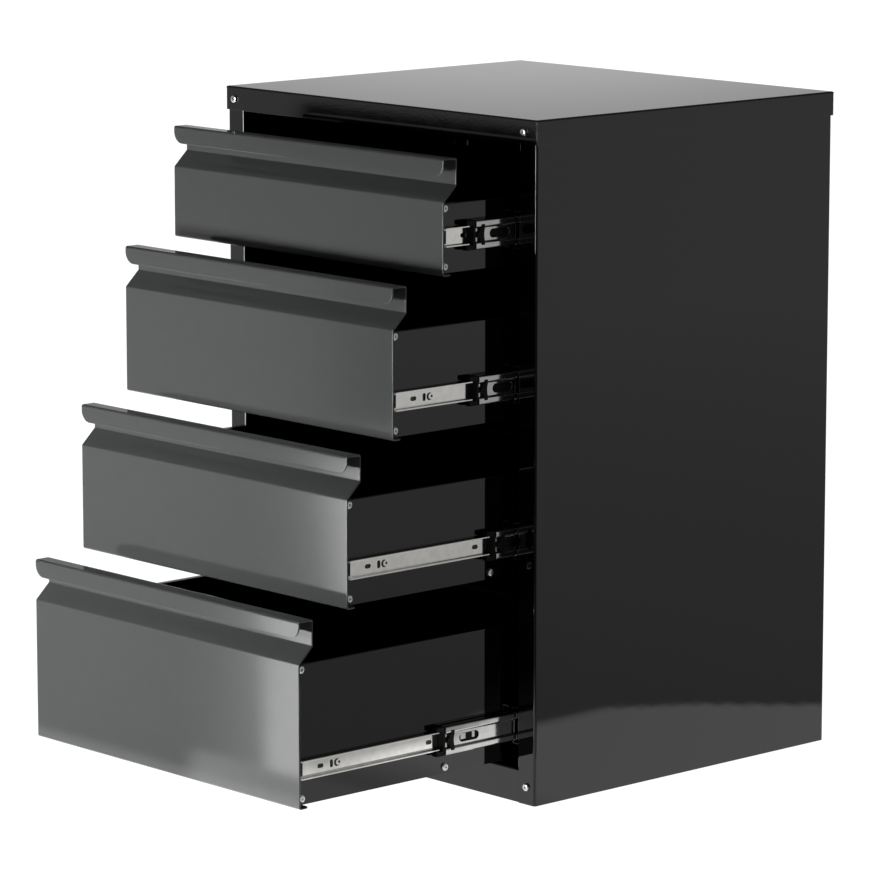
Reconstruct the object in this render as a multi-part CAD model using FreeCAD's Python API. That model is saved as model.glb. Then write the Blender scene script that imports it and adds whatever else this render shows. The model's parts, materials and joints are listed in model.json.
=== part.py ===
import FreeCAD, Part
import math
import os

# Four-drawer steel cabinet with ball-bearing drawer slides, in millimetres.
# The origin is on the floor under the middle of the carcass. The drawers open
# towards -Y, +X is to the right of someone facing them, and +Z is up.
# Drawers are numbered from the top. They are drawn partly open, as they stand
# in the photograph, and each drawer has two telescopic slides of three members.
# Bend radii are inside radii. A setback is measured from the front of the closed
# cabinet, or from the face of the drawer front for what is fixed to a drawer.

# Carcass
overall_width = 500.0
overall_depth = 450.0
overall_height = 730.0
sheet = 1.2
bend = 1.6
tight_bend = 1.0
fit_gap = 0.3
cover_lip = 26.2
cover_seam = 0.9
stile_width = 27.0
return_depth = 45.0
rear_flange = 20.0
top_flange = 14.0
rail_top = 37.0
rail_return = 18.0
rail_floor_gap = 0.5
post_width = 50.0
post_foot = 16.0
post_setback = 340.0
post_end_gap = 30.0

# Drawers, top drawer first. The fronts share the height between cover and rail.
front_shares = (0.1913, 0.2501, 0.2501, 0.3085)
gaps_between_fronts = (4.2, 8.1, 3.0)
gap_under_cover = 8.8
gap_over_rail = 5.9
gap_beside_front = 4.0
drawer_openings = (103.3, 173.0, 236.2, 301.8)
front_sheet = 1.5
handle_depth = 19.3
handle_lip = 18.7
handle_lip_round = 13.0
recess_height = 27.6
slant_height = 16.9
front_lip = 13.0
front_lip_round = 4.0
box_depth = 415.0
box_rise = 2.0
side_top_drop = 2.2
side_flange = 9.0
floor_flange = 12.0
angle_leg = 18.0
angle_foot = 16.0

# Slide members
slide_space = 13.0
slide_centre_rise = 39.6
slide_length = 400.0
slide_setback = 2.5
slide_sheet = 1.2
slide_bend = 0.8
outer_height = 40.0
outer_depth = 10.0
outer_lip = 2.4
middle_openings = (73.5, 69.0, 44.4, 115.8)
middle_length = 380.0
middle_setback = 15.5
middle_height = 30.7
middle_depth = 8.7
middle_gap = 2.1
middle_recess = 2.1
middle_recess_height = 14.0
middle_recess_step = 1.6
middle_slot_length = 28.0
middle_slot_width = 9.4
middle_slot_setback = 20.5
inner_setback = 1.8
inner_height = 19.8
inner_depth = 6.8
inner_notch_height = 14.0
inner_notch_depth = 9.5
inner_corner = 5.0
inner_hole_length = 8.2
inner_hole_width = 4.6
inner_hole_setbacks = (35.4, 185.4, 335.4)
key_setback = 50.4
key_width = 4.2
key_height = 8.4
crescent_setback = 57.9
crescent_radius = 4.0
crescent_core_radius = 3.0
crescent_width = 2.7
pilot_setback = 61.0
pilot_radius = 1.4

# Balls and cages. Each cage rolls half as far as the member that runs over it,
# and its setback keeps it inside both members at every opening.
outer_ball = 3.6
inner_ball = 4.4
ball_play = 0.1
outer_ball_reach = 7.5
inner_ball_reach = 4.7
cage_sheet = 0.4
cage_length = 150.0
cage_end_gap = 10.0
cage_notch_gap = 0.2
outer_cage_setback = 121.0
outer_cage_reach = 11.5
outer_cage_leg = 6.2
inner_cage_setback = 132.0
inner_cage_reach = 7.4
inner_cage_leg = 4.6

# Plastic end caps and stop clips of the middle members
cap_length = 12.5
cap_rim = 3.5
cap_tongue = 8.4
cap_start = 2.4
cap_reach = 9.6
cap_insert = 6.0
cap_gap = 0.5
clip_height = 21.6
clip_width = 4.5
clip_setback = 7.2
clip_shoulder = 2.4
clip_bulge = 5.4
clip_bulge_radius = 3.8
clip_hollow = 1.2
clip_proud = 0.4

# Screws
screw_head = 8.4
screw_head_height = 2.6
screw_dome = 1.2
screw_shank = 4.0
screw_grip = 4.0
screw_hole_gap = 0.2
flat_head = 8.0
cover_screw_drop = 13.9
cover_screw_inset = 14.0
cover_screw_far_inset = 19.4
base_screw_inset = 12.5
base_screw_level = 19.2
rear_screw_inset = 10.0
rear_screw_shares = (0.15, 0.5, 0.85)
drawer_screw_setback = 9.8
drawer_screw_top_drop = 5.6
drawer_screw_rise = 6.9
floor_screw_setback = 208.9
floor_screw_rise = 7.2
slide_screw_setback = 14.5

# Worked out from the sizes above
carcass_half_width = overall_width / 2 - sheet - fit_gap
carcass_half_depth = overall_depth / 2 - sheet - fit_gap
panel_top = overall_height - sheet
closed_front = -carcass_half_depth
skin_inside = carcass_half_width - sheet
back_inside = carcass_half_depth - sheet
mount_plane = carcass_half_width - stile_width
stile_edge = mount_plane + bend + sheet
box_half_width = mount_plane - slide_space
side_inside = box_half_width - sheet
front_half_width = mount_plane - gap_beside_front
middle_face = slide_space - middle_gap
middle_web = middle_face - middle_recess
outer_row = (outer_height / 2 - slide_sheet + middle_height / 2) / 2
inner_row = (middle_height / 2 - slide_sheet + inner_height / 2) / 2


def fronts():
    """Bottom level and height of each front, top drawer first."""
    top = overall_height - cover_lip - gap_under_cover
    room = top - rail_top - gap_over_rail - sum(gaps_between_fronts)
    levels_and_heights = []
    for share, gap in zip(front_shares, gaps_between_fronts + (gap_over_rail,)):
        height = room * share
        levels_and_heights.append((top - height, height))
        top -= height + gap
    return levels_and_heights


def in_plan(level):
    return lambda u, v: FreeCAD.Vector(u, v, level)


def in_side_view(x):
    return lambda u, v: FreeCAD.Vector(x, u, v)


def in_front_view(y):
    return lambda u, v: FreeCAD.Vector(u, y, v)


def along_x(length):
    return FreeCAD.Vector(length, 0, 0)


def along_y(length):
    return FreeCAD.Vector(0, length, 0)


def along_z(length):
    return FreeCAD.Vector(0, 0, length)


def shifted(points, distance):
    """The open line of points, moved sideways to its left."""
    normals = []
    for (u0, v0), (u1, v1) in zip(points, points[1:]):
        length = math.hypot(u1 - u0, v1 - v0)
        normals.append(((v0 - v1) / length, (u1 - u0) / length))
    moved = []
    for index, (u, v) in enumerate(points):
        before = normals[max(index - 1, 0)]
        after = normals[min(index, len(normals) - 1)]
        share = 1 + before[0] * after[0] + before[1] * after[1]
        moved.append((u + distance * (before[0] + after[0]) / share,
                      v + distance * (before[1] + after[1]) / share))
    return moved


def rounded_line(points, radii, place):
    """Edges along the points, with an arc of its radius at each inner one."""
    edges = []
    start = points[0]
    for before, corner, after, radius in zip(points, points[1:], points[2:], radii):
        into = math.atan2(corner[1] - before[1], corner[0] - before[0])
        away = math.atan2(after[1] - corner[1], after[0] - corner[0])
        turn = (away - into + math.pi) % (2 * math.pi) - math.pi
        setback = radius * math.tan(abs(turn) / 2)
        first = (corner[0] - setback * math.cos(into), corner[1] - setback * math.sin(into))
        last = (corner[0] + setback * math.cos(away), corner[1] + setback * math.sin(away))
        reach = radius / math.cos(turn / 2) - radius
        towards_centre = into + turn / 2 + math.copysign(math.pi / 2, turn)
        crown = (corner[0] + reach * math.cos(towards_centre),
                 corner[1] + reach * math.sin(towards_centre))
        edges.append(Part.LineSegment(place(*start), place(*first)).toShape())
        edges.append(Part.Arc(place(*first), place(*crown), place(*last)).toShape())
        start = last
    edges.append(Part.LineSegment(place(*start), place(*points[-1])).toShape())
    return edges


def bent_sheet(points, thickness, inside_radius, place, run):
    """A folded sheet: its right-hand face follows the points, and run is its length."""
    near_radii = []
    far_radii = []
    for (u0, v0), (u1, v1), (u2, v2) in zip(points, points[1:], points[2:]):
        left_turn = (u1 - u0) * (v2 - v1) - (v1 - v0) * (u2 - u1) > 0
        near_radii.append(inside_radius + thickness if left_turn else inside_radius)
        far_radii.append(inside_radius if left_turn else inside_radius + thickness)
    far_points = shifted(points, thickness)
    near = rounded_line(points, near_radii, place)
    far = rounded_line(far_points[::-1], far_radii[::-1], place)
    end_cap = Part.LineSegment(place(*points[-1]), place(*far_points[-1])).toShape()
    start_cap = Part.LineSegment(place(*far_points[0]), place(*points[0])).toShape()
    outline = Part.Wire(near + [end_cap] + far + [start_cap])
    return Part.Face(outline).extrude(run)


def block(x_span, y_span, z_span):
    low = FreeCAD.Vector(min(x_span), min(y_span), min(z_span))
    return Part.makeBox(abs(x_span[1] - x_span[0]), abs(y_span[1] - y_span[0]),
                        abs(z_span[1] - z_span[0]), low)


def rod(start, direction, radius, length):
    return Part.makeCylinder(radius, length, FreeCAD.Vector(*start), FreeCAD.Vector(*direction))


def prism(points, place, run):
    corners = [place(u, v) for u, v in points]
    return Part.Face(Part.makePolygon(corners + corners[:1])).extrude(run)


def long_hole(x_span, y, z, length, width):
    """Cutter for a hole along Y with round ends."""
    reach = (length - width) / 2
    depth = x_span[1] - x_span[0]
    cutter = block(x_span, (y - reach, y + reach), (z - width / 2, z + width / 2))
    for end in (y - reach, y + reach):
        cutter = cutter.fuse(rod((x_span[0], end, z), (1, 0, 0), width / 2, depth))
    return cutter.removeSplitter()


def upright_hole(x_span, y, z, length, width):
    """Cutter for a hole along Z with round ends."""
    hole = long_hole(x_span, y, z, length, width)
    hole.rotate(FreeCAD.Vector(0, y, z), FreeCAD.Vector(1, 0, 0), 90)
    return hole


def open_tray(half_width, y_span, z_span, corner):
    """A sheet folded up on four sides, with rounded corners and open at the top."""
    def filled(inset, top):
        solid = block((inset - half_width, half_width - inset),
                      (y_span[0] + inset, y_span[1] - inset), (z_span[0] + inset, top))
        uprights = [edge for edge in solid.Edges if edge.BoundBox.ZLength > sheet]
        solid = solid.makeFillet(corner - inset, uprights)
        rim = [edge for edge in solid.Edges if edge.BoundBox.ZMax < z_span[0] + inset + fit_gap]
        return solid.makeFillet(tight_bend + sheet - inset, rim)

    return filled(0, z_span[1]).cut(filled(sheet, z_span[1] + sheet))


def turned(outline, seat, outward):
    """A turned solid; the outline gives radius and height above the seat."""
    points = [FreeCAD.Vector(radius, 0, height) for radius, height in outline]
    profile = Part.Face(Part.makePolygon(points + points[:1]))
    solid = profile.revolve(FreeCAD.Vector(0, 0, 0), FreeCAD.Vector(0, 0, 1), 360)
    turn = FreeCAD.Rotation(FreeCAD.Vector(0, 0, 1), FreeCAD.Vector(*outward))
    solid.Placement = FreeCAD.Placement(FreeCAD.Vector(*seat), turn)
    return solid


def pan_screw(seat, outward):
    head = screw_head / 2
    shank = screw_shank / 2
    rim = screw_head_height - screw_dome
    outline = [(0, -screw_grip), (shank, -screw_grip), (shank, 0), (head, 0),
               (head, rim), (head - screw_dome, screw_head_height), (0, screw_head_height)]
    return turned(outline, seat, outward)


def flat_screw(seat, outward):
    shank = screw_shank / 2
    outline = [(0, -screw_grip), (shank, -screw_grip), (shank, -slide_sheet),
               (flat_head / 2, 0), (0, 0)]
    return turned(outline, seat, outward)


def screw_hole(seat, outward):
    depth = 2 * screw_grip
    start = [place - step * depth / 2 for place, step in zip(seat, outward)]
    return rod(start, outward, screw_shank / 2 + screw_hole_gap, depth)


def flat_screw_seat(seat, outward):
    shank = screw_shank / 2 + screw_hole_gap
    head = flat_head / 2 + screw_hole_gap
    outline = [(0, -slide_sheet), (shank, -slide_sheet), (head, 0), (head, slide_bend),
               (0, slide_bend)]
    return turned(outline, seat, outward)


def mirrored(shape):
    return shape.mirror(FreeCAD.Vector(0, 0, 0), FreeCAD.Vector(1, 0, 0))


def on_both_sides(shapes):
    right = list(shapes)
    return right + [mirrored(shape) for shape in right]


def cabinet_screw_seats():
    """Seats and outward directions of the screws through cover, stiles and back."""
    cover_level = overall_height - cover_screw_drop
    cover_reach = overall_width / 2 - cover_screw_inset
    far_reach = overall_width / 2 - cover_screw_far_inset
    base_reach = carcass_half_width - base_screw_inset
    back_reach = carcass_half_width - rear_screw_inset
    half_depth = overall_depth / 2
    front_seats = [(-cover_reach, -half_depth, cover_level),
                   (far_reach, -half_depth, cover_level),
                   (-base_reach, closed_front, base_screw_level),
                   (base_reach, closed_front, base_screw_level)]
    rear_seats = [(-cover_reach, half_depth, cover_level), (cover_reach, half_depth, cover_level)]
    for share in rear_screw_shares:
        level = share * overall_height
        rear_seats.append((-back_reach, carcass_half_depth, level))
        rear_seats.append((back_reach, carcass_half_depth, level))
    return [(seat, (0, -1, 0)) for seat in front_seats] + [(seat, (0, 1, 0)) for seat in rear_seats]


def slide_screw_seats():
    """Right-hand seats, inside the outer members, of the screws that hold them."""
    x = mount_plane - slide_sheet
    places = (closed_front + slide_screw_setback, closed_front + post_setback + post_width / 2)
    return [((x, y, level + slide_centre_rise), (-1, 0, 0))
            for level, _ in fronts() for y in places]


def top_cover():
    half_width = overall_width / 2
    half_depth = overall_depth / 2
    lip_bottom = overall_height - cover_lip

    def filled(inset, bottom):
        top = overall_height - inset
        solid = block((inset - half_width, half_width - inset),
                      (inset - half_depth, half_depth - inset), (bottom, top))
        rim = [edge for edge in solid.Edges if edge.BoundBox.ZMin > top - fit_gap]
        return solid.makeFillet(tight_bend + sheet - inset, rim)

    cover = filled(0, lip_bottom).cut(filled(sheet, lip_bottom - sheet))
    for x_side in (-1, 1):
        for y_side in (-1, 1):
            seam = block((x_side * (half_width - cover_seam), x_side * (half_width + sheet)),
                         (y_side * (half_depth - cover_seam), y_side * (half_depth + sheet)),
                         (lip_bottom - sheet, overall_height - tight_bend - sheet))
            cover = cover.cut(seam)
    return cover


def right_side_panel():
    """Skin with the front stile, its return flange, a rear flange and a top flange."""
    outline = [(mount_plane, closed_front + return_depth),
               (mount_plane, closed_front),
               (carcass_half_width, closed_front),
               (carcass_half_width, carcass_half_depth),
               (carcass_half_width - rear_flange, carcass_half_depth)]
    bend_level = panel_top - bend - sheet
    panel = bent_sheet(outline, sheet, bend, in_plan(0), along_z(bend_level))
    rail_relief = block((mount_plane - sheet, stile_edge),
                        (closed_front - sheet, closed_front + return_depth + sheet),
                        (-sheet, rail_top + bend))
    top_outline = [(carcass_half_width, bend_level - sheet),
                   (carcass_half_width, panel_top),
                   (carcass_half_width - top_flange, panel_top)]
    reach = carcass_half_depth - bend - sheet
    flange = bent_sheet(top_outline, sheet, bend, in_front_view(-reach), along_y(2 * reach))
    return panel.cut(rail_relief).fuse(flange).removeSplitter()


def back_panel():
    half_width = skin_inside - bend
    return block((-half_width, half_width), (back_inside - sheet, back_inside),
                 (sheet + fit_gap, panel_top - fit_gap))


def bottom_panel():
    return open_tray(skin_inside, (closed_front + sheet, back_inside - sheet),
                     (0, rail_top - sheet - bend), bend + sheet)


def front_rail():
    """Fills the opening below the drawers, flush with the stiles."""
    half_width = stile_edge - fit_gap
    outline = [(closed_front + sheet, rail_floor_gap),
               (closed_front + sheet, rail_top - sheet),
               (closed_front + rail_return, rail_top - sheet)]
    return bent_sheet(outline, sheet, bend, in_side_view(-half_width), along_x(2 * half_width))


def right_rear_post():
    """Hat section on the side skin that carries the rear of the slides."""
    web = mount_plane + sheet
    start = closed_front + post_setback
    end = start + post_width
    outline = [(skin_inside, start - post_foot), (skin_inside, start), (web, start),
               (web, end), (skin_inside, end), (skin_inside, end + post_foot)]
    bottom = rail_top + post_end_gap
    return bent_sheet(outline, sheet, bend, in_plan(bottom),
                      along_z(panel_top - post_end_gap - bottom))


def cabinet_nodes():
    seats = cabinet_screw_seats()
    holes = Part.makeCompound([screw_hole(*seat) for seat in seats])
    slide_seats = slide_screw_seats()
    slide_holes = Part.makeCompound([screw_hole(*seat) for seat in slide_seats])
    panel = right_side_panel().cut(slide_holes)
    post = right_rear_post().cut(slide_holes)
    return {
        "top_cover": [top_cover().cut(holes)],
        "left_side_panel": [mirrored(panel).cut(holes)],
        "right_side_panel": [panel.cut(holes)],
        "back_panel": [back_panel().cut(holes)],
        "bottom_panel": [bottom_panel().cut(holes)],
        "front_rail": [front_rail()],
        "left_rear_post": [mirrored(post)],
        "right_rear_post": [post],
        "cabinet_screws": [pan_screw(*seat) for seat in seats],
        "slide_screws": on_both_sides(flat_screw(*seat) for seat in slide_seats),
    }


def side_top(level, height):
    return level + height - recess_height - slant_height - side_top_drop


def folded_front(front, level, height):
    """Handle lip, top, recess wall, slant, face and bottom return, of one sheet."""
    top = level + height
    wall = front + handle_depth - front_sheet
    fold = top - recess_height
    outline = [(front + front_sheet, top - handle_lip),
               (front + front_sheet, top - front_sheet),
               (wall, top - front_sheet),
               (wall, fold),
               (front, fold - slant_height),
               (front, level),
               (front + front_lip, level)]
    return bent_sheet(outline, front_sheet, tight_bend,
                      in_side_view(-front_half_width), along_x(2 * front_half_width))


def drawer_front(front, level, height):
    """The folded front with the two angles that the drawer sides are screwed to."""
    lip_bottom = level + height - handle_lip
    deep = 2 * front_sheet
    corner = front_half_width - handle_lip_round
    lip_trim = block((corner, 2 * corner), (front, front + deep),
                     (lip_bottom - deep, lip_bottom + handle_lip_round))
    lip_round = rod((corner, front, lip_bottom + handle_lip_round), (0, 1, 0),
                    handle_lip_round, deep)
    foot_corner = front_half_width - front_lip_round
    foot_y = front + front_lip - front_lip_round
    foot_trim = block((foot_corner, 2 * foot_corner), (foot_y, front + 2 * front_lip),
                      (level, level + deep))
    foot_round = rod((foot_corner, foot_y, level), (0, 0, 1), front_lip_round, deep)
    trims = on_both_sides([lip_trim.cut(lip_round), foot_trim.cut(foot_round)])
    angle = front_angle(front, level, height)
    shape = folded_front(front, level, height).cut(Part.makeCompound(trims))
    return shape.fuse([angle, mirrored(angle)]).removeSplitter()


def front_angle(front, level, height):
    bottom = level + box_rise + floor_flange + tight_bend
    run = side_top(level, height) - sheet - tight_bend - fit_gap - bottom
    back = front + front_sheet
    outline = [(side_inside - angle_foot, back), (side_inside, back),
               (side_inside, back + angle_leg)]
    return bent_sheet(outline, sheet, tight_bend, in_plan(bottom), along_z(run))


def drawer_right_side(front, level, height):
    high = side_top(level, height)
    outline = [(box_half_width, level + box_rise),
               (box_half_width, high),
               (box_half_width - side_flange, high)]
    start = front + front_sheet + fit_gap
    return bent_sheet(outline, sheet, tight_bend, in_front_view(start),
                      along_y(front + box_depth - start))


def drawer_floor(front, level):
    bottom = level + box_rise
    return open_tray(side_inside, (front + front_sheet, front + box_depth - sheet),
                     (bottom, bottom + floor_flange), bend + sheet)


def drawer_back(front, level, height):
    """Stands between the sides, with a flange turned forward under theirs."""
    half_width = side_inside - fit_gap
    high = side_top(level, height) - sheet - fit_gap
    rear = front + box_depth
    outline = [(rear, level + box_rise), (rear, high), (rear - side_flange, high)]
    return bent_sheet(outline, sheet, tight_bend, in_side_view(-half_width),
                      along_x(2 * half_width))


def drawer_screw_seats(front, level, height):
    """Right-hand seats of the box screws and of the one that holds the inner member."""
    x = box_half_width
    near = front + drawer_screw_setback
    low = level + box_rise
    return [(x, near, side_top(level, height) - drawer_screw_top_drop),
            (x, near, low + drawer_screw_rise),
            (x, front + floor_screw_setback, low + floor_screw_rise),
            (x + slide_sheet, front + inner_hole_setbacks[-1], level + slide_centre_rise)]


def slide_member(outline, centre, start, length):
    """A folded member; the outline gives reach from the drawer side and height."""
    points = [(box_half_width + reach, centre + rise) for reach, rise in outline]
    return bent_sheet(points, slide_sheet, slide_bend, in_front_view(start), along_y(length))


def ball_grooves(centre, start, length, reach, row, ball):
    radius = ball / 2 + ball_play
    return [rod((box_half_width + reach, start, centre + side * row), (0, 1, 0), radius, length)
            for side in (-1, 1)]


def outer_grooves(centre, start, length):
    return ball_grooves(centre, start, length, outer_ball_reach, outer_row, outer_ball)


def inner_grooves(centre, start, length):
    return ball_grooves(centre, start, length, inner_ball_reach, inner_row, inner_ball)


def outer_member(centre):
    reach = slide_space - outer_depth
    half = outer_height / 2
    outline = [(reach, outer_lip - half), (reach, -half), (slide_space, -half),
               (slide_space, half), (reach, half), (reach, half - outer_lip)]
    start = closed_front + slide_setback
    member = slide_member(outline, centre, start, slide_length)
    cutters = outer_grooves(centre, start, slide_length)
    for seat in slide_screw_seats():
        cutters.append(flat_screw_seat(*seat))
    return member.cut(Part.makeCompound(cutters))


def middle_member(centre, start):
    """Two rails that stand proud of a recessed web, with a slot behind the stop clip."""
    half = middle_height / 2
    web_half = middle_recess_height / 2
    tip = middle_face - middle_depth
    lower = [(tip, -half), (middle_face, -half), (middle_face, -web_half - middle_recess_step),
             (middle_web, -web_half)]
    upper = [(reach, -rise) for reach, rise in lower[::-1]]
    member = slide_member(lower + upper, centre, start, middle_length)
    window = long_hole((box_half_width, mount_plane),
                       start + middle_slot_setback + middle_slot_length / 2, centre,
                       middle_slot_length, middle_slot_width)
    grooves = outer_grooves(centre, start, middle_length)
    grooves += inner_grooves(centre, start, middle_length)
    return member.cut(Part.makeCompound(grooves)).cut(window)


def inner_member(front, centre):
    """A channel with a notched front end, long screw holes, a key hole and a crescent."""
    half = inner_height / 2
    start = front + inner_setback
    outline = [(inner_depth, half), (0, half), (0, -half), (inner_depth, -half)]
    member = slide_member(outline, centre, start, slide_length)
    through = (box_half_width - slide_sheet, box_half_width + 2 * slide_sheet)
    cutters = inner_grooves(centre, start, slide_length)
    cutters.append(block(through, (start - sheet, start + inner_notch_depth),
                         (centre - inner_notch_height / 2, centre + inner_notch_height / 2)))
    for setback in inner_hole_setbacks:
        cutters.append(long_hole(through, front + setback, centre,
                                 inner_hole_length, inner_hole_width))
    cutters.append(upright_hole(through, front + key_setback, centre, key_height, key_width))
    cutters.append(crescent(through, front + crescent_setback, centre))
    cutters.append(rod((through[0], front + pilot_setback, centre), (1, 0, 0),
                       pilot_radius, through[1] - through[0]))
    corner_depth = slide_sheet + slide_bend
    low = box_half_width + corner_depth
    tip = box_half_width + inner_depth
    corner = [(low, start - sheet), (tip + sheet, start - sheet), (tip + sheet, start + inner_corner),
              (tip, start + inner_corner), (low, start)]
    for side in (-1, 1):
        face = in_plan(centre + side * (half - corner_depth))
        cutters.append(prism(corner, face, along_z(side * (corner_depth + sheet))))
    return member.cut(Part.makeCompound(cutters))


def crescent(through, y, centre):
    """Cutter for a crescent with its horns towards the back."""
    depth = through[1] - through[0]
    core_y = y - crescent_radius + crescent_width + crescent_core_radius
    disc = rod((through[0], y, centre), (1, 0, 0), crescent_radius, depth)
    return disc.cut(rod((through[0], core_y, centre), (1, 0, 0), crescent_core_radius, depth))


def end_cap(centre, metal):
    """Plastic guide on the front end of a middle member; the inner member runs through it."""
    x = box_half_width
    half = middle_height / 2
    tongue_half = inner_height / 2 - slide_sheet - cap_gap
    tongue_floor = x + slide_sheet + cap_gap
    rim_x = (x + inner_depth + cap_gap, x + cap_reach)
    cap = block(rim_x, (metal - cap_rim, metal), (centre - half, centre + half))
    for side in (-1, 1):
        cap = cap.fuse(block((x + cap_start, x + cap_reach), (metal - cap_length, metal),
                             (centre + side * (inner_height / 2 + cap_gap), centre + side * half)))
    tongue_z = (centre - tongue_half, centre + tongue_half)
    cap = cap.fuse(block((tongue_floor, rim_x[1]), (metal - cap_tongue, metal), tongue_z))
    insert_x = (tongue_floor, x + middle_web - slide_sheet - fit_gap)
    cap = cap.fuse(block(insert_x, (metal, metal + cap_insert), tongue_z))
    return cap.removeSplitter()


def stop_clip(centre, metal):
    """Plastic clip that shows on the outside of a middle member, with a bulge to the front."""
    y = metal + clip_setback
    half_web = middle_recess_height / 2
    x_span = (box_half_width + middle_web, box_half_width + middle_face + clip_proud)
    depth = x_span[1] - x_span[0]
    bar = block(x_span, (y, y + clip_width), (centre - clip_height / 2, centre + clip_height / 2))
    hollow_radius = (half_web ** 2 + clip_hollow ** 2) / (2 * clip_hollow)
    hollow_y = y + clip_width - clip_hollow + hollow_radius
    bar = bar.cut(rod((x_span[0], hollow_y, centre), (1, 0, 0), hollow_radius, depth))
    shoulder = block(x_span, (y - clip_shoulder, y), (centre - half_web, centre + half_web))
    bulge = rod((x_span[0], y - clip_bulge + clip_bulge_radius, centre), (1, 0, 0),
                clip_bulge_radius, depth)
    return bar.fuse([shoulder, bulge]).removeSplitter()


def ball_cage(centre, start, reach, leg, row, ball, ball_reach):
    """A channel with notched legs, and two balls in each of its rows."""
    half = row + cage_sheet / 2
    outline = [(reach - leg, -half), (reach, -half), (reach, half), (reach - leg, half)]
    points = [(box_half_width + u, centre + v) for u, v in outline]
    cage = bent_sheet(points, cage_sheet, cage_sheet, in_front_view(start), along_y(cage_length))
    balls = []
    notches = []
    notch = ball / 2 + cage_notch_gap
    ball_x = box_half_width + ball_reach
    for side in (-1, 1):
        z = centre + side * row
        for y in (start + cage_end_gap, start + cage_length - cage_end_gap):
            balls.append(Part.makeSphere(ball / 2, FreeCAD.Vector(ball_x, y, z)))
            notches.append(block((ball_x - ball, ball_x + notch), (y - notch, y + notch),
                                 (z - cage_sheet, z + cage_sheet)))
    return [cage.cut(Part.makeCompound(notches))] + balls


def drawer_nodes(number, level, height, opening, middle_opening):
    front = closed_front - opening
    centre = level + slide_centre_rise
    middle_start = closed_front + middle_setback - middle_opening
    outer_cage_start = closed_front + outer_cage_setback - middle_opening / 2
    inner_cage_start = closed_front + inner_cage_setback - (opening + middle_opening) / 2
    seats = drawer_screw_seats(front, level, height)
    holes = [screw_hole(seat, (1, 0, 0)) for seat in seats]
    right_side = drawer_right_side(front, level, height).cut(Part.makeCompound(holes))
    both_holes = Part.makeCompound(on_both_sides(holes))
    middle = middle_member(centre, middle_start)
    clip_pieces = stop_clip(centre, middle_start).cut(middle).Solids
    clip = max(clip_pieces, key=lambda piece: piece.Volume)
    plastic = [end_cap(centre, middle_start), clip]
    outer_cage = ball_cage(centre, outer_cage_start, outer_cage_reach, outer_cage_leg,
                           outer_row, outer_ball, outer_ball_reach)
    inner_cage = ball_cage(centre, inner_cage_start, inner_cage_reach, inner_cage_leg,
                           inner_row, inner_ball, inner_ball_reach)
    name = "drawer_%d_" % number
    return {
        name + "front": [drawer_front(front, level, height).cut(both_holes)],
        name + "left_side": [mirrored(right_side)],
        name + "right_side": [right_side],
        name + "floor": [drawer_floor(front, level).cut(both_holes)],
        name + "back": [drawer_back(front, level, height)],
        name + "screws": on_both_sides(pan_screw(seat, (1, 0, 0)) for seat in seats),
        name + "outer_slide_members": on_both_sides([outer_member(centre)]),
        name + "middle_slide_members": on_both_sides([middle]),
        name + "inner_slide_members": on_both_sides([inner_member(front, centre)]),
        name + "slide_caps_and_clips": on_both_sides(plastic),
        name + "outer_ball_cages": on_both_sides(outer_cage),
        name + "inner_ball_cages": on_both_sides(inner_cage),
    }


def main():
    os.makedirs("parts", exist_ok=True)
    nodes = cabinet_nodes()
    rows = zip(fronts(), drawer_openings, middle_openings)
    for number, (front, opening, middle_opening) in enumerate(rows, start=1):
        nodes.update(drawer_nodes(number, *front, opening, middle_opening))
    for name, solids in nodes.items():
        shape = solids[0] if len(solids) == 1 else Part.makeCompound(solids)
        shape.exportStep("parts/%s.step" % name)
    print(len(nodes), "nodes")


main()
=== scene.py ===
import json
import math

import bmesh
import bpy
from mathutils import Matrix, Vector


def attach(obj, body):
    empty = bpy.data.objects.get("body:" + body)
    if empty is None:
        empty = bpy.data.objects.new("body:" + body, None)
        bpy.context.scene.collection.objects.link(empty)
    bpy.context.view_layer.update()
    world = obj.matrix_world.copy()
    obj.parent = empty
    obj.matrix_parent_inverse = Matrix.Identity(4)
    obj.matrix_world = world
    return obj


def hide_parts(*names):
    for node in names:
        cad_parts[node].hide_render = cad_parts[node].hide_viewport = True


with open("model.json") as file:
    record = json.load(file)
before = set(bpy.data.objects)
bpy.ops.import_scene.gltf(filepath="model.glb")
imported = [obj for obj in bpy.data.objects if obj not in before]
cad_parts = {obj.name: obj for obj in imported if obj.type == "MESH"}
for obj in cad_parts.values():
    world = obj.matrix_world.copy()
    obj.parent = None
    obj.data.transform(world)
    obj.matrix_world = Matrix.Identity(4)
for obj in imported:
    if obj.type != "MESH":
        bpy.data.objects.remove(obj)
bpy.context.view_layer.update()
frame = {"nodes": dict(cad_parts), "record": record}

# Lengths are in metres, angles in degrees, levels in units of the white background's brightness.

drawer_numbers = (1, 2, 3, 4)

# Range of a noise texture that colours and roughness are spread over
noise_span = (0.3, 0.7)

# Screw heads
socket_radius = 0.0017
socket_depth = 0.0014
socket_taper = 0.95
head_rise = 0.0026
head_dome = 0.0012
dome_width = 1.6 * head_dome
dome_turn = 80
dome_steps = 4
head_sides = 30
smooth_angle = 35

# Slide caps, and the slots of the middle slide members behind their caps
cap_length = 0.0125
cap_rim = 0.0035
cap_tongue = 0.0084
tongue_lead = 0.0004
tongue_tolerance = 0.0002
slot_setback = 0.0205
slot_length = 0.028
slot_width = 0.0094

# Thin black sheets of painted shade that show dark through the slots, and the cut-outs of the lowest
# drawer's, where the zinc behind shows
shade_sheet_reach = 0.21605
shade_sheet_thickness = 0.00008
shade_sheet_margin = 0.0012
cut_ends = (0.006, 0.0115, 0.0205, 0.0245)
cut_low = 0.0035
cut_high = 0.002

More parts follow.
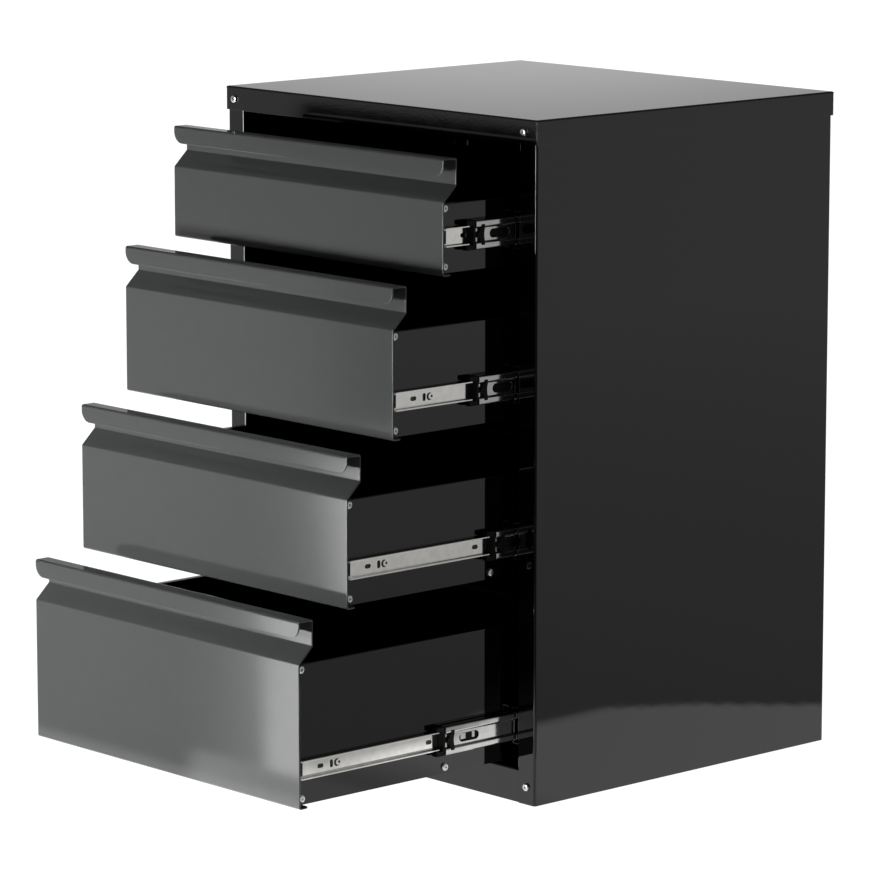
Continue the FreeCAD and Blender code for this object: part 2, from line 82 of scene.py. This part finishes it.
# Camera, fitted to the photograph
camera_place = (3.7380, -3.5522, 1.2429)
camera_down = 9.915
camera_turn = 47.604
picture_width = 870
focal_pixels = 4683.06
sensor_width = 36.0

# Cards that light the part, in one plane in front of it. The first two light what
# paint scatters, and the last one shows only in what bends and edges mirror.
card_plane = -1.5
cards = {
    "softbox": {"sides": (-0.475, -0.025), "heights": (0.2, 0.4), "glow": 36.0, "scattered": True},
    "fill": {"sides": (-2.5, -0.7), "heights": (0.2, 0.8), "glow": 0.98, "scattered": True},
    "edge_light": {"sides": (-0.5, 0.0), "heights": (0.0, 1.0), "glow": 32.0, "scattered": False},
}

# White floor and surround, which the camera sees, and the little light that they give
floor_half = 30.0
floor_depth = 0.002
floor_white = 1.1
floor_bounce = 0.2
sky_white = 1.0
sky_bounce = 0.02

# Surround in reflections: brighter past an edge behind on the left, and dimmer overhead
bright_way = (-0.7174, 0.6778, -0.1612)
bright_edge = (0.9642, 0.9675)
bright_levels = (0.49, 0.73)
overhead_rise = (0.15, 0.35)
overhead_level = 0.12

# Floor in reflections: a grid that is finest near the part, one level under the open drawers,
# and a dark one far in front
glow_half = 9.0
glow_steps = 150
glow_crowding = 4.5
glow_middle = -0.4
glow_depth = 0.0005
under_level = 1.1
dark_level = 0.08

# Floor that the drawer fronts mirror, by its distance from the lowest front
lowest_front = -0.525
mirror_way = (-0.74, -0.673)
mirrored_camera = (3.738, 2.75)
distance_levels = ((0.0, 0.7), (1.0, 0.7), (1.3, 0.75), (2.2, 0.75), (2.5, 0.7), (3.8, 0.7), (4.1, 0.5))
dim_level = 0.35
dim_start = (2.1, 2.3)
dim_end = (3.7, 3.9)
dim_heading = (48.8, 49.1)
near_level = 1.0
near_end = (0.18, 0.23)
near_right_level = 1.6
near_right_side = (0.0, 0.05)
near_right_end = (0.27, 0.33)

# Bright streak that the fronts' right ends mirror, by the distance across its edge
streak_foot = 0.16
streak_way = (-0.7646, -0.6445)
streak_end = (1.95, 2.25)
streak_side = (0.12, 0.22)
slow_rise = {"level": 1.3, "middle": -0.035, "width": 0.02}
fast_rise = {"level": 3.2, "middle": 0.004, "width": 0.0035}
core_level = 9.0
core_start = (0.1, 0.3)
core_side = (0.05, 0.1)
dark_side = (0.6, 0.75)

# Floor that the right sides mirror: the edge of its pale part, and levels before and past it
right_edge = ((-0.6, 0.44), (-0.1, 0.455), (0.03, 0.515), (0.15, 0.52), (0.243, 0.465),
              (0.33, 0.38), (0.5, 0.27))
right_near = ((-0.3, 0.6), (-0.17, 1.2))
right_levels = ((0.0, 0.36), (0.3, 0.38), (2.5, 0.55))
right_edge_width = (-0.01, 0.02)

# Where the left floor fades out and the right one comes in, as angles to the right of straight
# ahead, about a point in the cabinet, and the extra level near the cabinet's corner between them
meeting_point = (0.2, -0.3)
left_fade = (0, 12)
right_fade = (80, 100)
corner_level = 0.8
corner_fade = (0.2, 0.45)
cabinet_half_width = 0.25

# Stretch of floor far out that the top cover's lip mirrors dark
dark_patch = ((-4.971, -4.4), (-5.458, -4.82), (-4.55, -4.82), (-4.12, -4.4))
dark_patch_level = 0.02
dark_patch_depth = 0.0002


# Materials

def new_material(name):
    material = bpy.data.materials.new(name)
    material.use_nodes = True
    return material


def link(material, from_node, output, to_node, target):
    material.node_tree.links.new(from_node.outputs[output], to_node.inputs[target])


def shader(material):
    return material.node_tree.nodes["Principled BSDF"]


def object_noise(material, scale, detail, stretch=(1, 1, 1)):
    """Noise in the object's own coordinates; scale is in cycles per metre."""
    nodes = material.node_tree.nodes
    place = nodes.new("ShaderNodeTexCoord")
    mapping = nodes.new("ShaderNodeMapping")
    mapping.inputs["Scale"].default_value = stretch
    noise = nodes.new("ShaderNodeTexNoise")
    noise.inputs["Scale"].default_value = scale
    noise.inputs["Detail"].default_value = detail
    link(material, place, "Object", mapping, "Vector")
    link(material, mapping, "Vector", noise, "Vector")
    return noise


def rounded_edges(material, radius):
    """Normal that rounds every edge of the sheet by the radius."""
    bevel = material.node_tree.nodes.new("ShaderNodeBevel")
    bevel.samples = 6
    bevel.inputs["Radius"].default_value = radius
    return bevel


def add_bump(material, noise, height, edges):
    """Bumps of the given height, on top of the rounded edges."""
    bump = material.node_tree.nodes.new("ShaderNodeBump")
    bump.inputs["Strength"].default_value = 1.0
    bump.inputs["Distance"].default_value = height
    link(material, noise, "Fac", bump, "Height")
    link(material, edges, "Normal", bump, "Normal")
    link(material, bump, "Normal", shader(material), "Normal")


def vary_roughness(material, noise, low, high):
    spread = material.node_tree.nodes.new("ShaderNodeMapRange")
    spread.inputs["From Min"].default_value = noise_span[0]
    spread.inputs["From Max"].default_value = noise_span[1]
    spread.inputs["To Min"].default_value = low
    spread.inputs["To Max"].default_value = high
    link(material, noise, "Fac", spread, "Value")
    link(material, spread, "Result", shader(material), "Roughness")


def tint(material, noise, dark, light):
    """Base colour between two colours, by noise."""
    ramp = material.node_tree.nodes.new("ShaderNodeValToRGB")
    ramp.color_ramp.elements[0].position = noise_span[0]
    ramp.color_ramp.elements[0].color = (*dark, 1)
    ramp.color_ramp.elements[1].position = noise_span[1]
    ramp.color_ramp.elements[1].color = (*light, 1)
    link(material, noise, "Fac", ramp, "Fac")
    link(material, ramp, "Color", shader(material), "Base Color")


def powder_coat(name, dark, light, edge_radius, peel):
    """Gloss paint with orange peel, a little rounded at the sheet's edges."""
    material = new_material(name)
    shader(material).inputs["IOR"].default_value = 1.5
    tint(material, object_noise(material, scale=60, detail=3), dark, light)
    vary_roughness(material, object_noise(material, scale=35, detail=3), 0.03, 0.045)
    bumps = object_noise(material, scale=420, detail=2)
    add_bump(material, bumps, peel, rounded_edges(material, edge_radius))
    return material


def zinc_plate(name, dark, light):
    """Zinc with fine rolling streaks along the slides."""
    material = new_material(name)
    shader(material).inputs["Metallic"].default_value = 1.0
    tint(material, object_noise(material, scale=90, detail=4), dark, light)
    vary_roughness(material, object_noise(material, scale=300, detail=4, stretch=(1, 0.05, 1)), 0.08, 0.13)
    streaks = object_noise(material, scale=900, detail=3, stretch=(1, 0.02, 1))
    add_bump(material, streaks, 0.000002, rounded_edges(material, 0.0003))
    return material


def nickel_plate():
    material = new_material("bright_nickel_plate")
    shader(material).inputs["Metallic"].default_value = 1.0
    tint(material, object_noise(material, scale=800, detail=2), (0.58, 0.58, 0.57), (0.68, 0.68, 0.67))
    vary_roughness(material, object_noise(material, scale=1200, detail=2), 0.12, 0.22)
    return material


def black_plastic():
    material = new_material("moulded_black_plastic")
    shader(material).inputs["Specular IOR Level"].default_value = 0.12
    tint(material, object_noise(material, scale=400, detail=2), (0.003, 0.003, 0.003), (0.006, 0.006, 0.006))
    vary_roughness(material, object_noise(material, scale=500, detail=2), 0.4, 0.55)
    add_bump(material, object_noise(material, scale=2500, detail=1), 0.00001, rounded_edges(material, 0.0003))
    return material


def cage_steel():
    material = new_material("ball_cage_steel")
    shader(material).inputs["Metallic"].default_value = 1.0
    tint(material, object_noise(material, scale=500, detail=3), (0.45, 0.44, 0.42), (0.55, 0.54, 0.52))
    vary_roughness(material, object_noise(material, scale=700, detail=2), 0.25, 0.35)
    return material


def make_finishes():
    """One material for each material slot of the record."""
    return {
        "black_powder_coat": powder_coat("gloss_black_powder_coat", (0.0022, 0.0022, 0.0024),
                                         (0.0035, 0.0035, 0.0037), 0.0004, 0.000004),
        "charcoal_powder_coat": powder_coat("gloss_charcoal_powder_coat", (0.0825, 0.0875, 0.0855),
                                            (0.086, 0.091, 0.089), 0.0014, 0.00004),
        "zinc_plated_steel": zinc_plate("bright_zinc_plate", (0.73, 0.72, 0.69), (0.82, 0.81, 0.78)),
        "bright_screw_steel": nickel_plate(),
        "black_plastic": black_plastic(),
        "ball_cage_steel": cage_steel(),
    }


def dress_nodes():
    for subpart in frame["record"]["subparts"]:
        node = frame["nodes"][subpart["node"]]
        node.data.materials.clear()
        node.data.materials.append(finishes[subpart["material_slot"]])
    # Painted shade: a darker copy of the zinc for the middle and outer slide members, which sit back in the
    # cabinet's shade
    zinc_with_painted_shade = zinc_plate("zinc_plate_with_painted_shade", (0.44, 0.44, 0.43), (0.52, 0.52, 0.51))
    for number in drawer_numbers:
        for member in ("middle", "outer"):
            node = frame["nodes"]["drawer_%d_%s_slide_members" % (number, member)]
            node.data.materials[0] = zinc_with_painted_shade


# New pieces

def place_piece(name, mesh, body):
    piece = bpy.data.objects.new(name, mesh)
    bpy.context.scene.collection.objects.link(piece)
    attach(piece, body)
    return piece


def extent(mesh, axis):
    """Lowest and highest place of a mesh along an axis, 0 to 2."""
    places = [vertex.co[axis] for vertex in mesh.vertices]
    return min(places), max(places)


def loose_boxes(mesh):
    """Low and high corners of every separate solid in a mesh."""
    work = bmesh.new()
    work.from_mesh(mesh)
    bmesh.ops.remove_doubles(work, verts=work.verts, dist=1e-6)
    waiting = set(work.verts)
    boxes = []
    while waiting:
        open_list = [waiting.pop()]
        found = []
        while open_list:
            vertex = open_list.pop()
            found.append(vertex.co.copy())
            for edge in vertex.link_edges:
                other = edge.other_vert(vertex)
                if other in waiting:
                    waiting.remove(other)
                    open_list.append(other)
        low = Vector([min(place[axis] for place in found) for axis in range(3)])
        high = Vector([max(place[axis] for place in found) for axis in range(3)])
        boxes.append((low, high))
    work.free()
    return boxes


def round_ring(radius, rise):
    return [(radius, rise)] * head_sides


def hexagon_ring(radius, rise):
    """Ring of a hexagon whose corners lie at the radius."""
    ring = []
    for step in range(head_sides):
        from_flat = (math.tau * step / head_sides) % math.radians(60) - math.radians(30)
        ring.append((radius * math.cos(math.radians(30)) / math.cos(from_flat), rise))
    return ring


def screw_rings(head, length):
    """Rings of radius and rise above the seat, from the shank's end over the head into its socket."""
    crown = head_rise - head_dome
    rings = [round_ring(head / 2, head_rise - length), round_ring(head / 2, 0),
             round_ring(head, 0), round_ring(head, crown)]
    for step in range(1, dome_steps + 1):
        turn = math.radians(dome_turn) * step / dome_steps
        rise = head_rise if step == dome_steps else crown + head_dome * math.sin(turn)
        rings.append(round_ring(head - dome_width * (1 - math.cos(turn)), rise))
    rings.append(hexagon_ring(socket_radius, head_rise))
    rings.append(hexagon_ring(socket_radius * socket_taper, head_rise - socket_depth))
    return rings


def add_screw(work, low, high):
    """A domed screw head with a hexagon socket, in the box of the CAD screw."""
    size = high - low
    centre = (low + high) / 2
    axis = min(range(3), key=lambda index: size[index])
    outward = Vector((0, 0, 0))
    outward[axis] = math.copysign(1, centre[axis])
    side = Vector((0, 0, 1))
    across = outward.cross(side)
    seat = centre + outward * (size[axis] / 2 - head_rise)
    vertex_rings = []
    for ring in screw_rings(max(size) / 2, size[axis]):
        vertices = []
        for step, (radius, rise) in enumerate(ring):
            angle = math.tau * step / head_sides
            spoke = side * math.cos(angle) + across * math.sin(angle)
            vertices.append(work.verts.new(seat + outward * rise + spoke * radius))
        vertex_rings.append(vertices)
    for inner, outer in zip(vertex_rings, vertex_rings[1:]):
        for step in range(head_sides):
            after = (step + 1) % head_sides
            work.faces.new((inner[step], inner[after], outer[after], outer[step]))
    work.faces.new(vertex_rings[0])
    work.faces.new(vertex_rings[-1][::-1])


def finished_mesh(work, name, slot):
    """The closed shape in work as a mesh in the slot's material."""
    bmesh.ops.recalc_face_normals(work, faces=work.faces)
    mesh = bpy.data.meshes.new(name)
    work.to_mesh(mesh)
    work.free()
    mesh.materials.append(finishes[slot])
    return mesh


def socket_screws(node, body):
    """The node's plain screws, drawn again with their sockets."""
    work = bmesh.new()
    for low, high in loose_boxes(frame["nodes"][node].data):
        add_screw(work, low, high)
    mesh = finished_mesh(work, node + "_socketed", "bright_screw_steel")
    mesh.shade_smooth()
    mesh.set_sharp_from_angle(angle=math.radians(smooth_angle))
    screws = place_piece(mesh.name, mesh, body)
    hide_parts(node)


def trimmed_caps(number):
    """The end caps and clips, with the caps' middle tongues drawn back nearly flush with their rims."""
    node = "drawer_%d_slide_caps_and_clips" % number
    mesh = frame["nodes"][node].data.copy()
    metal_front = extent(mesh, 1)[0] + cap_length
    for vertex in mesh.vertices:
        if abs(vertex.co.y - (metal_front - cap_tongue)) < tongue_tolerance:
            vertex.co.y = metal_front - cap_rim + tongue_lead
    caps = place_piece(node + "_trimmed", mesh, "middle_slides_%d" % number)
    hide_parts(node)


def thin_plate(work, side, y_lines, z_lines, rows):
    """A closed plate of the cells marked # in a grid, whose rows are given from the lowest up."""
    corners = {}

    def filled(column, row):
        inside = 0 <= row < len(rows) and 0 <= column < len(rows[0])
        return inside and rows[row][column] == "#"

    def corner(column, row, depth):
        place = (column, row, depth)
        if place not in corners:
            reach = side * (shade_sheet_reach - depth * shade_sheet_thickness)
            corners[place] = work.verts.new((reach, y_lines[column], z_lines[row]))
        return corners[place]

    def add_cell(column, row):
        ring = ((column, row), (column + 1, row), (column + 1, row + 1), (column, row + 1))
        for depth in (0, 1):
            work.faces.new([corner(*point, depth) for point in ring])
        neighbours = ((column, row - 1), (column + 1, row), (column, row + 1), (column - 1, row))
        for start, end, neighbour in zip(ring, ring[1:] + ring[:1], neighbours):
            if not filled(*neighbour):
                wall = (corner(*start, 0), corner(*end, 0), corner(*end, 1), corner(*start, 1))
                work.faces.new(wall)

    for row in range(len(rows)):
        for column in range(len(rows[0])):
            if filled(column, row):
                add_cell(column, row)


def slot_painted_shade(number):
    """Sheets of painted shade behind the slots of the two middle members, cut out behind the lowest drawer's.
    """
    members = frame["nodes"]["drawer_%d_middle_slide_members" % number].data
    start = extent(members, 1)[0] + slot_setback - shade_sheet_margin
    end = start + slot_length + 2 * shade_sheet_margin
    low = sum(extent(members, 2)) / 2 - slot_width / 2 - shade_sheet_margin
    high = low + slot_width + 2 * shade_sheet_margin
    y_lines, z_lines, rows = (start, end), (low, high), ("#",)
    if number == drawer_numbers[-1]:
        y_lines = (start, *(start + cut_end for cut_end in cut_ends), end)
        z_lines = (low, low + cut_low, high - cut_high, high)
        rows = ("#####", "..#.#", ".####")
    work = bmesh.new()
    for side in (-1, 1):
        thin_plate(work, side, y_lines, z_lines, rows)
    # Painted shade: the sheets are black plastic standing where the slots show only shade
    mesh = finished_mesh(work, "drawer_%d_slot_strips" % number, "black_plastic")
    place_piece(mesh.name, mesh, "middle_slides_%d" % number)


# What the mirrored floor shows

def soft_step(value, span):
    """0 before the span, 1 past it, and a soft rise between."""
    start, end = span
    share = min(max((value - start) / (end - start), 0), 1)
    return share * share * (3 - 2 * share)


def between(value, stops):
    """Straight interpolation in a list of (place, level) stops."""
    if value <= stops[0][0]:
        return stops[0][1]
    for (start, low), (end, high) in zip(stops, stops[1:]):
        if value <= end:
            return low + (high - low) * (value - start) / (end - start)
    return stops[-1][1]


def rise_across(across, rise):
    """S-shaped rise about its middle."""
    return rise["level"] * (1 + math.tanh((across - rise["middle"]) / rise["width"] / 2)) / 2


def left_level(x, y):
    """What the drawer fronts mirror."""
    out = (lowest_front - y) / -mirror_way[1]
    source = x - mirror_way[0] * out
    across = -streak_way[1] * (x - streak_foot) + streak_way[0] * (y - lowest_front)
    heading = math.degrees(math.atan2(mirrored_camera[0] - x, mirrored_camera[1] - y))
    level = between(out, distance_levels)
    in_dim = soft_step(out, dim_start) * (1 - soft_step(out, dim_end)) * (1 - soft_step(heading, dim_heading))
    level -= dim_level * in_dim
    level += near_level * (1 - soft_step(out, near_end))
    past_near = soft_step(out, near_right_end)
    level += near_right_level * soft_step(source, near_right_side) * (1 - past_near)
    in_streak = (1 - soft_step(out, streak_end)) * (1 - soft_step(across, streak_side))
    level += (rise_across(across, slow_rise) + rise_across(across, fast_rise)) * past_near * in_streak
    level += (core_level - level) * soft_step(across, core_side) * soft_step(out, core_start) * in_streak
    return level + (dark_level - level) * soft_step(across, dark_side)


def right_level(x, y):
    """What the side panel and the drawers' sides mirror."""
    beyond = x - between(y, right_edge)
    near = between(y, right_near)
    return near + (between(beyond, right_levels) - near) * soft_step(beyond, right_edge_width)


def floor_level(x, y):
    if abs(x) < cabinet_half_width and y > lowest_front:
        return under_level
    angle = math.degrees(math.atan2(x - meeting_point[0], meeting_point[1] - y))
    if angle < 0:
        return left_level(x, y)
    from_corner = math.hypot(max(x - cabinet_half_width, 0), min(y - lowest_front, 0))
    by_corner = dark_level + corner_level * (1 - soft_step(from_corner, corner_fade))
    front = left_level(x, y) if y < lowest_front else distance_levels[0][1]
    front += (by_corner - front) * soft_step(angle, left_fade)
    return front + (right_level(x, y) - front) * soft_step(angle, right_fade)


# Studio

def stage_plane(name, corners, material):
    mesh = bpy.data.meshes.new(name)
    mesh.from_pydata(corners, [], [(0, 1, 2, 3)])
    mesh.materials.append(material)
    obj = bpy.data.objects.new(name, mesh)
    bpy.context.scene.collection.objects.link(obj)
    return obj


def only_mirrored(obj):
    """Takes an object out of all but reflections."""
    obj.visible_camera = False
    obj.visible_diffuse = False
    obj.visible_shadow = False


def glow_material(name, strength):
    material = new_material(name)
    bsdf = shader(material)
    bsdf.inputs["Base Color"].default_value = (0, 0, 0, 1)
    bsdf.inputs["Roughness"].default_value = 1.0
    bsdf.inputs["Specular IOR Level"].default_value = 0.0
    bsdf.inputs["Emission Color"].default_value = (1, 1, 1, 1)
    bsdf.inputs["Emission Strength"].default_value = strength
    return material


def add_white_floor():
    material = glow_material("white_floor", 1.0)
    pick = seen_directly(material.node_tree, floor_white, floor_bounce)
    link(material, pick, "Result", shader(material), "Emission Strength")
    ring = ((-1, -1), (1, -1), (1, 1), (-1, 1))
    stage_plane("floor", [(x * floor_half, y * floor_half, -floor_depth) for x, y in ring], material)


def add_lit_floor():
    """Fine grid over the floor, seen in reflections only, with its level at each corner."""
    lines = []
    for step in range(-glow_steps, glow_steps + 1):
        lines.append(glow_half * math.sinh(glow_crowding * step / glow_steps) / math.sinh(glow_crowding))
    corners = [(x, y + glow_middle, -glow_depth) for y in lines for x in lines]
    count = len(lines)
    faces = []
    for row in range(count - 1):
        for column in range(count - 1):
            first = row * count + column
            faces.append((first, first + 1, first + 1 + count, first + count))
    mesh = bpy.data.meshes.new("lit_floor")
    mesh.from_pydata(corners, [], faces)
    layer = mesh.attributes.new("glow", "FLOAT", "POINT")
    layer.data.foreach_set("value", [floor_level(x, y) for x, y, _ in corners])
    material = glow_material("lit_floor", 1.0)
    reader = material.node_tree.nodes.new("ShaderNodeAttribute")
    reader.attribute_name = "glow"
    link(material, reader, "Fac", shader(material), "Emission Strength")
    mesh.materials.append(material)
    obj = bpy.data.objects.new("lit_floor", mesh)
    bpy.context.scene.collection.objects.link(obj)
    only_mirrored(obj)


def add_dark_floor():
    corners = [(x, y, -dark_patch_depth) for x, y in dark_patch]
    only_mirrored(stage_plane("dark_floor", corners, glow_material("dark_floor", dark_patch_level)))


def add_card(name, sides, heights, glow, scattered):
    """An upright lit card, either for the light that paint scatters or for what bends mirror."""
    corners = [(sides[0], card_plane, heights[0]), (sides[1], card_plane, heights[0]),
               (sides[1], card_plane, heights[1]), (sides[0], card_plane, heights[1])]
    obj = stage_plane(name, corners, glow_material(name, glow))
    only_mirrored(obj)
    obj.visible_diffuse = scattered
    obj.visible_glossy = not scattered


def seen_directly(tree, direct, otherwise):
    """Strength for camera rays and for all others."""
    path = tree.nodes.new("ShaderNodeLightPath")
    pick = tree.nodes.new("ShaderNodeMix")
    pick.inputs["A"].default_value = otherwise
    pick.inputs["B"].default_value = direct
    tree.links.new(path.outputs["Is Camera Ray"], pick.inputs["Factor"])
    return pick


def ramp(tree, value, span, levels):
    spread = tree.nodes.new("ShaderNodeMapRange")
    spread.inputs["From Min"].default_value = span[0]
    spread.inputs["From Max"].default_value = span[1]
    spread.inputs["To Min"].default_value = levels[0]
    spread.inputs["To Max"].default_value = levels[1]
    tree.links.new(value, spread.inputs["Value"])
    return spread.outputs["Result"]


def set_surround():
    """White to the camera, nearly dark to scattered light, and with one edge in reflections."""
    world = bpy.data.worlds.new("studio")
    world.use_nodes = True
    tree = world.node_tree
    place = tree.nodes.new("ShaderNodeTexCoord")
    lean = tree.nodes.new("ShaderNodeVectorMath")
    lean.operation = "DOT_PRODUCT"
    lean.inputs[1].default_value = bright_way
    tree.links.new(place.outputs["Generated"], lean.inputs[0])
    rise = tree.nodes.new("ShaderNodeSeparateXYZ")
    tree.links.new(place.outputs["Generated"], rise.inputs[0])
    mirrored = tree.nodes.new("ShaderNodeMix")
    tree.links.new(ramp(tree, rise.outputs["Z"], overhead_rise, (0, 1)), mirrored.inputs["Factor"])
    tree.links.new(ramp(tree, lean.outputs["Value"], bright_edge, bright_levels), mirrored.inputs["A"])
    mirrored.inputs["B"].default_value = overhead_level
    pick = seen_directly(tree, sky_white, sky_bounce)
    path = tree.nodes.new("ShaderNodeLightPath")
    choose = tree.nodes.new("ShaderNodeMix")
    tree.links.new(path.outputs["Is Glossy Ray"], choose.inputs["Factor"])
    tree.links.new(pick.outputs["Result"], choose.inputs["A"])
    tree.links.new(mirrored.outputs["Result"], choose.inputs["B"])
    background = tree.nodes["Background"]
    background.inputs["Color"].default_value = (1, 1, 1, 1)
    tree.links.new(choose.outputs["Result"], background.inputs["Strength"])
    bpy.context.scene.world = world


def add_camera():
    data = bpy.data.cameras.new("camera")
    data.sensor_width = sensor_width
    data.lens = focal_pixels / picture_width * sensor_width
    data.clip_end = 200.0
    obj = bpy.data.objects.new("camera", data)
    obj.location = camera_place
    obj.rotation_euler = (math.radians(90 - camera_down), 0, math.radians(camera_turn))
    bpy.context.scene.collection.objects.link(obj)
    bpy.context.scene.camera = obj


finishes = make_finishes()
dress_nodes()
socket_screws("cabinet_screws", "cabinet")
for number in drawer_numbers:
    socket_screws("drawer_%d_screws" % number, "drawer_%d" % number)
for number in drawer_numbers:
    trimmed_caps(number)
    slot_painted_shade(number)

add_white_floor()
add_lit_floor()
add_dark_floor()
for name, card in cards.items():
    add_card(name, **card)
set_surround()
add_camera()
bpy.context.scene.view_settings.view_transform = "Standard"
